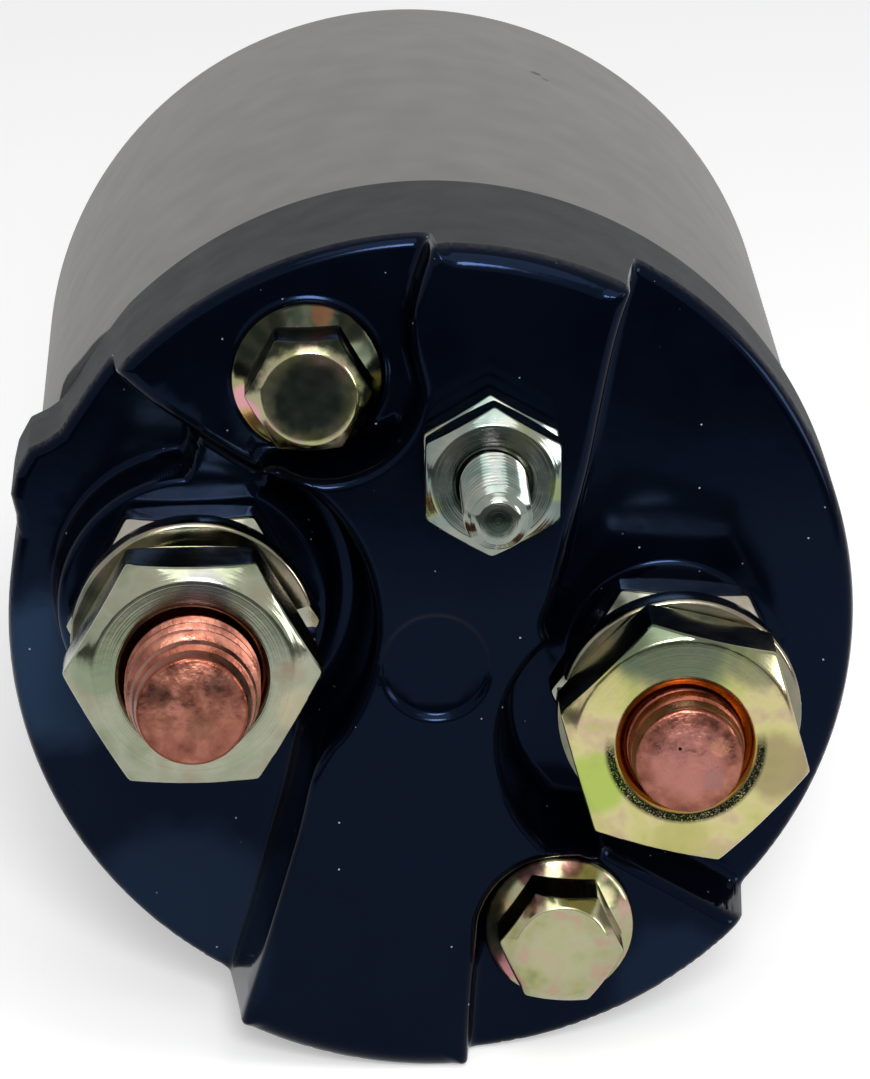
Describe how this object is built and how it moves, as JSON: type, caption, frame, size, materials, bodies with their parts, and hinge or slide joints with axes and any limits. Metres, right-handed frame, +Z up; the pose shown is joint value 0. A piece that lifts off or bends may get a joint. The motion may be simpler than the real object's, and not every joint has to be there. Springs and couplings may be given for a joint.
{
  "type": "starter solenoid relay",
  "caption": "Starter solenoid: steel can with a pull-in plunger at one end and a moulded cap with threaded copper power studs and a small switch stud at the other.",
  "frame": {"origin": "centre of the circle of mounting holes, in the mounting face at the can's rear", "axes": "the can's axis lies along Y: the terminal cap faces -Y, the plunger stands out along +Y, and +Z is up, towards the switch stud"},
  "size_m": [0.062, 0.1417, 0.062],
  "materials": {
    "zinc_plated_can": "matte zinc-plated drawn steel",
    "magnet_steel": "turned low-carbon steel",
    "plated_plunger": "ground and plated steel",
    "spring_steel": "drawn spring wire",
    "yellow_zinc": "yellow chromated zinc plate",
    "copper": "cold-headed copper",
    "brass": "drawn brass",
    "phenolic": "glossy moulded phenolic, blue-black",
    "nylon": "moulded natural nylon",
    "enamelled_wire": "enamelled copper wire",
    "insulating_paper": "pressed insulating paper",
    "red_fibre": "vulcanised fibre",
    "rubber": "moulded black rubber"
  },
  "bodies": {
    "root": {"can_shell": "zinc_plated_can", "mounting_plate": "magnet_steel", "core_plate": "magnet_steel", "fixed_core": "magnet_steel", "guide_tube": "brass", "bobbin": "nylon", "pull_in_winding": "enamelled_wire", "winding_insulation": "insulating_paper", "hold_in_winding": "enamelled_wire", "winding_wrap": "insulating_paper", "plunger_return_spring": "spring_steel", "contact_return_spring": "spring_steel", "terminal_cap": "phenolic", "cap_gasket": "rubber", "battery_stud": "copper", "motor_stud": "copper", "switch_stud": "yellow_zinc", "switch_link": "brass", "stud_seals": "rubber", "battery_jam_nut": "yellow_zinc", "motor_jam_nut": "yellow_zinc", "switch_jam_nut": "yellow_zinc", "battery_lock_washer": "yellow_zinc", "motor_lock_washer": "yellow_zinc", "battery_top_nut": "yellow_zinc", "motor_top_nut": "yellow_zinc", "switch_top_nut": "yellow_zinc", "cap_screws": "yellow_zinc"},
    "plunger_group": {"plunger": "plated_plunger", "spring_retainer": "magnet_steel", "retainer_ring": "spring_steel"},
    "contact_group": {"contact_rod": "plated_plunger", "contact_disc": "copper", "front_insulator": "red_fibre", "rear_insulator": "red_fibre", "contact_pressure_spring": "spring_steel", "rod_clip": "spring_steel"}
  },
  "joints": [
    {"name": "plunger_slide", "type": "slide", "parent": "root", "child": "plunger_group", "axis": [0, -1, 0], "range_m": [0, 0.0099], "stiffness_N_per_m": 1500, "springref_m": -0.012, "deforming": ["plunger_return_spring"]},
    {"name": "contact_slide", "type": "slide", "parent": "root", "child": "contact_group", "axis": [0, -1, 0], "range_m": [0, 0.0029], "deforming": ["contact_return_spring"]}
  ],
  "couplings": [
    {"joint": "contact_slide", "follows": "plunger_slide", "ratio": 0.29293}
  ]
}
